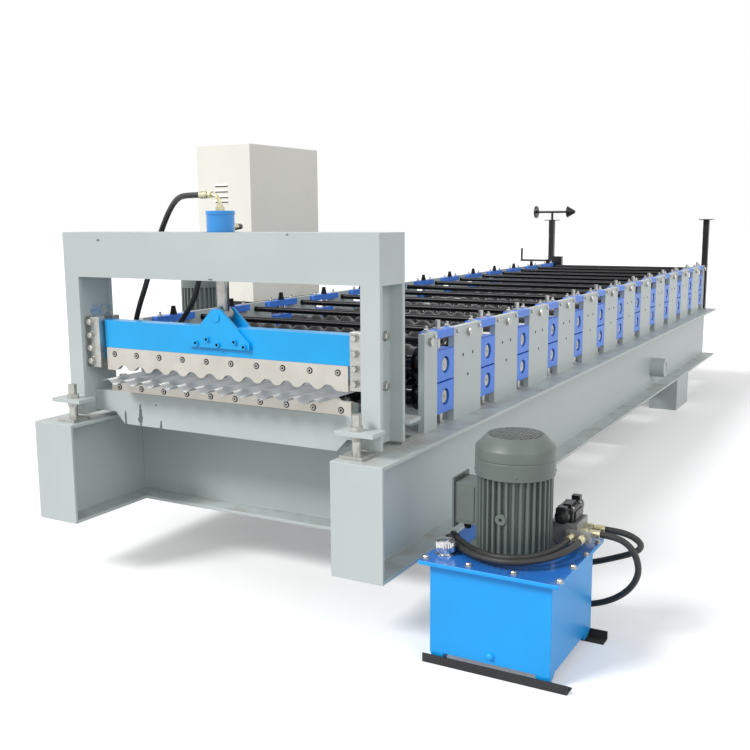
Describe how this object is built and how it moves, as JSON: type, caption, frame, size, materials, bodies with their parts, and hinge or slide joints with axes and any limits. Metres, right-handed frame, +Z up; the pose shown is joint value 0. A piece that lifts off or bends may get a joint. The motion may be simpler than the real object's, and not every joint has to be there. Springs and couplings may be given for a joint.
{
  "type": "roll forming machine",
  "caption": "Cold roll former for corrugated sheet, with driven roll stations, a hydraulic shear on a gantry, a power pack and a control cabinet.",
  "frame": {"origin": "on the floor, under the middle of the machine's overall footprint", "axes": "+X across the machine to the power pack's side, +Y from the shear end to the entry end, +Z up"},
  "size_m": [2.5815, 5.3035, 1.602],
  "materials": {
    "frame_paint": "satin",
    "block_blue": "gloss",
    "bright_blue": "gloss",
    "black_roller": "polished",
    "zinc_steel": "satin",
    "black_chain": "satin",
    "bright_rod": "polished",
    "ground_blade": "satin",
    "galvanised": "satin",
    "motor_grey": "satin",
    "cabinet_cream": "satin",
    "stand_black": "satin",
    "hose_rubber": "matt"
  },
  "bodies": {
    "frame": {"rails": "frame_paint", "cross_beams": "frame_paint", "support_legs": "frame_paint", "side_plates": "frame_paint", "lower_bearing_blocks": "block_blue", "upper_bearing_blocks": "block_blue", "station_caps": "block_blue", "bearing_screws": "zinc_steel", "tie_rods": "zinc_steel", "drive_chain": "black_chain", "gantry_frame": "frame_paint", "gantry_jacks": "zinc_steel", "guide_channels": "frame_paint", "shear_cylinder": "bright_blue", "lower_blade": "ground_blade", "lower_beam": "frame_paint", "formed_sheet": "galvanised", "film_stand": "frame_paint", "drive_unit": "motor_grey", "pack_skids": "black_chain", "pack_tank": "bright_blue", "pack_motor": "motor_grey", "filler_cap": "bright_rod", "pack_valve": "black_chain", "control_cabinet": "cabinet_cream", "cabinet_stand": "stand_black", "press_hose": "hose_rubber", "return_hose": "hose_rubber", "pump_hose_front": "hose_rubber", "pump_hose_back": "hose_rubber"},
    "ram": {"cylinder_rod": "bright_rod", "rod_bracket": "bright_blue", "blade_ram": "bright_blue", "upper_blade": "ground_blade"},
    "upper_roller_01": {"upper_roller_01": "black_roller"},
    "upper_roller_02": {"upper_roller_02": "black_roller"},
    "upper_roller_03": {"upper_roller_03": "black_roller"},
    "upper_roller_04": {"upper_roller_04": "black_roller"},
    "upper_roller_05": {"upper_roller_05": "black_roller"},
    "upper_roller_06": {"upper_roller_06": "black_roller"},
    "upper_roller_07": {"upper_roller_07": "black_roller"},
    "upper_roller_08": {"upper_roller_08": "black_roller"},
    "upper_roller_09": {"upper_roller_09": "black_roller"},
    "upper_roller_10": {"upper_roller_10": "black_roller"},
    "upper_roller_11": {"upper_roller_11": "black_roller"},
    "upper_roller_12": {"upper_roller_12": "black_roller"},
    "upper_roller_13": {"upper_roller_13": "black_roller"},
    "lower_roller_01": {"lower_roller_01": "black_roller"},
    "lower_roller_02": {"lower_roller_02": "black_roller"},
    "lower_roller_03": {"lower_roller_03": "black_roller"},
    "lower_roller_04": {"lower_roller_04": "black_roller"},
    "lower_roller_05": {"lower_roller_05": "black_roller"},
    "lower_roller_06": {"lower_roller_06": "black_roller"},
    "lower_roller_07": {"lower_roller_07": "black_roller"},
    "lower_roller_08": {"lower_roller_08": "black_roller"},
    "lower_roller_09": {"lower_roller_09": "black_roller"},
    "lower_roller_10": {"lower_roller_10": "black_roller"},
    "lower_roller_11": {"lower_roller_11": "black_roller"},
    "lower_roller_12": {"lower_roller_12": "black_roller"},
    "lower_roller_13": {"lower_roller_13": "black_roller"}
  },
  "joints": [
    {"name": "lower_roller_01_spin", "type": "hinge", "parent": "frame", "child": "lower_roller_01", "pos_m": [0, -2.019, 0.6445], "axis": [1, 0, 0], "continuous": true},
    {"name": "upper_roller_01_spin", "type": "hinge", "parent": "frame", "child": "upper_roller_01", "pos_m": [0, -2.019, 0.7545], "axis": [1, 0, 0], "continuous": true},
    {"name": "lower_roller_02_spin", "type": "hinge", "parent": "frame", "child": "lower_roller_02", "pos_m": [0, -1.647, 0.6445], "axis": [1, 0, 0], "continuous": true},
    {"name": "upper_roller_02_spin", "type": "hinge", "parent": "frame", "child": "upper_roller_02", "pos_m": [0, -1.647, 0.7545], "axis": [1, 0, 0], "continuous": true},
    {"name": "lower_roller_03_spin", "type": "hinge", "parent": "frame", "child": "lower_roller_03", "pos_m": [0, -1.275, 0.6445], "axis": [1, 0, 0], "continuous": true},
    {"name": "upper_roller_03_spin", "type": "hinge", "parent": "frame", "child": "upper_roller_03", "pos_m": [0, -1.275, 0.7545], "axis": [1, 0, 0], "continuous": true},
    {"name": "lower_roller_04_spin", "type": "hinge", "parent": "frame", "child": "lower_roller_04", "pos_m": [0, -0.903, 0.6445], "axis": [1, 0, 0], "continuous": true},
    {"name": "upper_roller_04_spin", "type": "hinge", "parent": "frame", "child": "upper_roller_04", "pos_m": [0, -0.903, 0.7545], "axis": [1, 0, 0], "continuous": true},
    {"name": "lower_roller_05_spin", "type": "hinge", "parent": "frame", "child": "lower_roller_05", "pos_m": [0, -0.531, 0.6445], "axis": [1, 0, 0], "continuous": true},
    {"name": "upper_roller_05_spin", "type": "hinge", "parent": "frame", "child": "upper_roller_05", "pos_m": [0, -0.531, 0.7545], "axis": [1, 0, 0], "continuous": true},
    {"name": "lower_roller_06_spin", "type": "hinge", "parent": "frame", "child": "lower_roller_06", "pos_m": [0, -0.159, 0.6445], "axis": [1, 0, 0], "continuous": true},
    {"name": "upper_roller_06_spin", "type": "hinge", "parent": "frame", "child": "upper_roller_06", "pos_m": [0, -0.159, 0.7545], "axis": [1, 0, 0], "continuous": true},
    {"name": "lower_roller_07_spin", "type": "hinge", "parent": "frame", "child": "lower_roller_07", "pos_m": [0, 0.213, 0.6445], "axis": [1, 0, 0], "continuous": true},
    {"name": "upper_roller_07_spin", "type": "hinge", "parent": "frame", "child": "upper_roller_07", "pos_m": [0, 0.213, 0.7545], "axis": [1, 0, 0], "continuous": true},
    {"name": "lower_roller_08_spin", "type": "hinge", "parent": "frame", "child": "lower_roller_08", "pos_m": [0, 0.585, 0.6445], "axis": [1, 0, 0], "continuous": true},
    {"name": "upper_roller_08_spin", "type": "hinge", "parent": "frame", "child": "upper_roller_08", "pos_m": [0, 0.585, 0.7545], "axis": [1, 0, 0], "continuous": true},
    {"name": "lower_roller_09_spin", "type": "hinge", "parent": "frame", "child": "lower_roller_09", "pos_m": [0, 0.957, 0.6445], "axis": [1, 0, 0], "continuous": true},
    {"name": "upper_roller_09_spin", "type": "hinge", "parent": "frame", "child": "upper_roller_09", "pos_m": [0, 0.957, 0.7545], "axis": [1, 0, 0], "continuous": true},
    {"name": "lower_roller_10_spin", "type": "hinge", "parent": "frame", "child": "lower_roller_10", "pos_m": [0, 1.329, 0.6445], "axis": [1, 0, 0], "continuous": true},
    {"name": "upper_roller_10_spin", "type": "hinge", "parent": "frame", "child": "upper_roller_10", "pos_m": [0, 1.329, 0.7545], "axis": [1, 0, 0], "continuous": true},
    {"name": "lower_roller_11_spin", "type": "hinge", "parent": "frame", "child": "lower_roller_11", "pos_m": [0, 1.701, 0.6445], "axis": [1, 0, 0], "continuous": true},
    {"name": "upper_roller_11_spin", "type": "hinge", "parent": "frame", "child": "upper_roller_11", "pos_m": [0, 1.701, 0.7545], "axis": [1, 0, 0], "continuous": true},
    {"name": "lower_roller_12_spin", "type": "hinge", "parent": "frame", "child": "lower_roller_12", "pos_m": [0, 2.073, 0.6445], "axis": [1, 0, 0], "continuous": true},
    {"name": "upper_roller_12_spin", "type": "hinge", "parent": "frame", "child": "upper_roller_12", "pos_m": [0, 2.073, 0.7545], "axis": [1, 0, 0], "continuous": true},
    {"name": "lower_roller_13_spin", "type": "hinge", "parent": "frame", "child": "lower_roller_13", "pos_m": [0, 2.445, 0.6445], "axis": [1, 0, 0], "continuous": true},
    {"name": "upper_roller_13_spin", "type": "hinge", "parent": "frame", "child": "upper_roller_13", "pos_m": [0, 2.445, 0.7545], "axis": [1, 0, 0], "continuous": true},
    {"name": "ram_slide", "type": "slide", "parent": "frame", "child": "ram", "axis": [0, 0, -1], "range_m": [0, 0.026]}
  ],
  "couplings": [
    {"joint": "upper_roller_01_spin", "follows": "lower_roller_01_spin", "ratio": -1},
    {"joint": "lower_roller_02_spin", "follows": "lower_roller_01_spin", "ratio": 1},
    {"joint": "upper_roller_02_spin", "follows": "lower_roller_01_spin", "ratio": -1},
    {"joint": "lower_roller_03_spin", "follows": "lower_roller_01_spin", "ratio": 1},
    {"joint": "upper_roller_03_spin", "follows": "lower_roller_01_spin", "ratio": -1},
    {"joint": "lower_roller_04_spin", "follows": "lower_roller_01_spin", "ratio": 1},
    {"joint": "upper_roller_04_spin", "follows": "lower_roller_01_spin", "ratio": -1},
    {"joint": "lower_roller_05_spin", "follows": "lower_roller_01_spin", "ratio": 1},
    {"joint": "upper_roller_05_spin", "follows": "lower_roller_01_spin", "ratio": -1},
    {"joint": "lower_roller_06_spin", "follows": "lower_roller_01_spin", "ratio": 1},
    {"joint": "upper_roller_06_spin", "follows": "lower_roller_01_spin", "ratio": -1},
    {"joint": "lower_roller_07_spin", "follows": "lower_roller_01_spin", "ratio": 1},
    {"joint": "upper_roller_07_spin", "follows": "lower_roller_01_spin", "ratio": -1},
    {"joint": "lower_roller_08_spin", "follows": "lower_roller_01_spin", "ratio": 1},
    {"joint": "upper_roller_08_spin", "follows": "lower_roller_01_spin", "ratio": -1},
    {"joint": "lower_roller_09_spin", "follows": "lower_roller_01_spin", "ratio": 1},
    {"joint": "upper_roller_09_spin", "follows": "lower_roller_01_spin", "ratio": -1},
    {"joint": "lower_roller_10_spin", "follows": "lower_roller_01_spin", "ratio": 1},
    {"joint": "upper_roller_10_spin", "follows": "lower_roller_01_spin", "ratio": -1},
    {"joint": "lower_roller_11_spin", "follows": "lower_roller_01_spin", "ratio": 1},
    {"joint": "upper_roller_11_spin", "follows": "lower_roller_01_spin", "ratio": -1},
    {"joint": "lower_roller_12_spin", "follows": "lower_roller_01_spin", "ratio": 1},
    {"joint": "upper_roller_12_spin", "follows": "lower_roller_01_spin", "ratio": -1},
    {"joint": "lower_roller_13_spin", "follows": "lower_roller_01_spin", "ratio": 1},
    {"joint": "upper_roller_13_spin", "follows": "lower_roller_01_spin", "ratio": -1}
  ]
}
